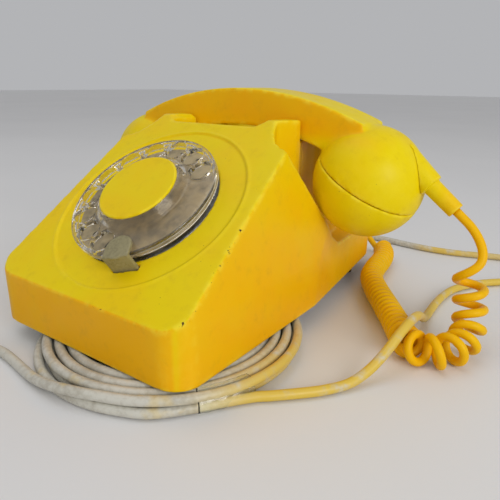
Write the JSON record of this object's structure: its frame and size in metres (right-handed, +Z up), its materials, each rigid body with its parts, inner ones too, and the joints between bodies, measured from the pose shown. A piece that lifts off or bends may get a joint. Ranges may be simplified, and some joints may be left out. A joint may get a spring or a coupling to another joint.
{
  "type": "rotary dial telephone",
  "caption": "Desk telephone with a sloping dial face, clear finger wheel, horned cradle, arched handset, curled handset cord and coiled line cord.",
  "frame": {"origin": "on the table, under the middle of the case", "axes": "+Z up, the dial faces -Y, +X to the right of someone facing the dial"},
  "size_m": [0.273, 0.3273, 0.1225],
  "materials": {
    "yellow_paint": "sprayed paint, satin gloss, chipped",
    "yellow_vinyl": "vinyl with paint on it",
    "grey_vinyl": "smooth vinyl",
    "clear_tape": "clear film",
    "clear_acrylic": "clear moulded",
    "number_ring": "printed",
    "steel": "plain",
    "brass": "plain",
    "copper": "lacquered wire",
    "grey_plastic": "moulded",
    "board": "laminate",
    "black_plastic": "moulded",
    "rubber": "moulded"
  },
  "bodies": {
    "base": {"case": "yellow_paint", "base_plate": "steel", "foot_front_left": "rubber", "foot_front_right": "rubber", "foot_rear_left": "rubber", "foot_rear_right": "rubber", "case_screws": "steel", "number_plate": "number_ring", "dial_cup": "steel", "dial_screws": "steel", "finger_stop": "yellow_paint", "governor_cup": "steel", "pulse_springs": "brass", "gong_left": "brass", "gong_right": "brass", "gong_posts": "steel", "bell_frame": "steel", "bell_coils": "copper", "induction_coil": "copper", "capacitor": "grey_plastic", "terminal_board": "board", "terminal_screws": "brass", "hook_bracket": "steel", "hook_springs": "brass", "plunger_guides": "grey_plastic", "line_gland": "grey_vinyl", "handset_gland": "yellow_vinyl", "handset_cord_curl": "yellow_vinyl", "handset_cord_tail": "yellow_vinyl", "handset_cord_end": "yellow_vinyl", "line_cord_lead": "grey_vinyl", "line_cord_coil": "grey_vinyl", "line_cord_tail": "grey_vinyl", "cord_tape": "clear_tape", "line_plug": "grey_vinyl", "plug_blades": "brass"},
    "finger_wheel": {"finger_wheel": "clear_acrylic", "centre_disc": "yellow_paint", "wheel_spindle": "steel", "main_gear": "brass"},
    "pulse_train": {"pulse_shaft": "steel", "pulse_pinion": "brass", "pulse_gear": "brass", "pulse_cam": "black_plastic"},
    "governor": {"governor_shaft": "steel", "governor_pinion": "brass", "governor_weights": "brass"},
    "plunger_left": {"plunger_left": "yellow_paint"},
    "plunger_right": {"plunger_right": "yellow_paint"},
    "hook_lever": {"hook_lever": "brass"},
    "clapper": {"armature": "steel", "clapper": "steel"},
    "handset": {"handset_shell": "yellow_paint", "ear_cap": "yellow_paint", "mouth_cap": "yellow_paint", "receiver_capsule": "steel", "transmitter_capsule": "black_plastic", "handset_relief": "yellow_vinyl"}
  },
  "joints": [
    {"name": "handset_lift", "type": "slide", "parent": "base", "child": "handset", "axis": [0, 0, 1], "range_m": [0, 0.08]},
    {"name": "dial_spin", "type": "hinge", "parent": "base", "child": "finger_wheel", "pos_m": [0, -0.06216, 0.06972], "axis": [0, -0.5835, 0.8121], "range_deg": [-330, 0], "stiffness_Nm_per_rad": 0.004, "springref_deg": 85.94},
    {"name": "pulse_spin", "type": "hinge", "parent": "base", "child": "pulse_train", "pos_m": [-0.01871, -0.05339, 0.07602], "axis": [0, -0.5835, 0.8121], "range_deg": [0, 1650]},
    {"name": "governor_spin", "type": "hinge", "parent": "base", "child": "governor", "pos_m": [-0.02332, -0.06369, 0.06862], "axis": [0, -0.5835, 0.8121], "range_deg": [-6600, 0]},
    {"name": "plunger_left_rise", "type": "slide", "parent": "base", "child": "plunger_left", "axis": [0, 0, 1], "range_m": [0, 0.004]},
    {"name": "plunger_right_rise", "type": "slide", "parent": "base", "child": "plunger_right", "axis": [0, 0, 1], "range_m": [0, 0.004]},
    {"name": "hook_lever_swing", "type": "hinge", "parent": "base", "child": "hook_lever", "pos_m": [0, 0.0425, 0.075], "axis": [1, 0, 0], "range_deg": [-11.5, 0]},
    {"name": "clapper_swing", "type": "hinge", "parent": "base", "child": "clapper", "pos_m": [0, 0.0085, 0.0435], "axis": [0, 1, 0], "range_deg": [-7.5, 7.5], "stiffness_Nm_per_rad": 0.01}
  ],
  "couplings": [
    {"joint": "pulse_spin", "follows": "dial_spin", "ratio": -5},
    {"joint": "governor_spin", "follows": "dial_spin", "ratio": 20},
    {"joint": "plunger_left_rise", "follows": "handset_lift", "ratio": 0.05},
    {"joint": "plunger_right_rise", "follows": "handset_lift", "ratio": 0.05},
    {"joint": "hook_lever_swing", "follows": "handset_lift", "rad_per_m": -2.45}
  ]
}
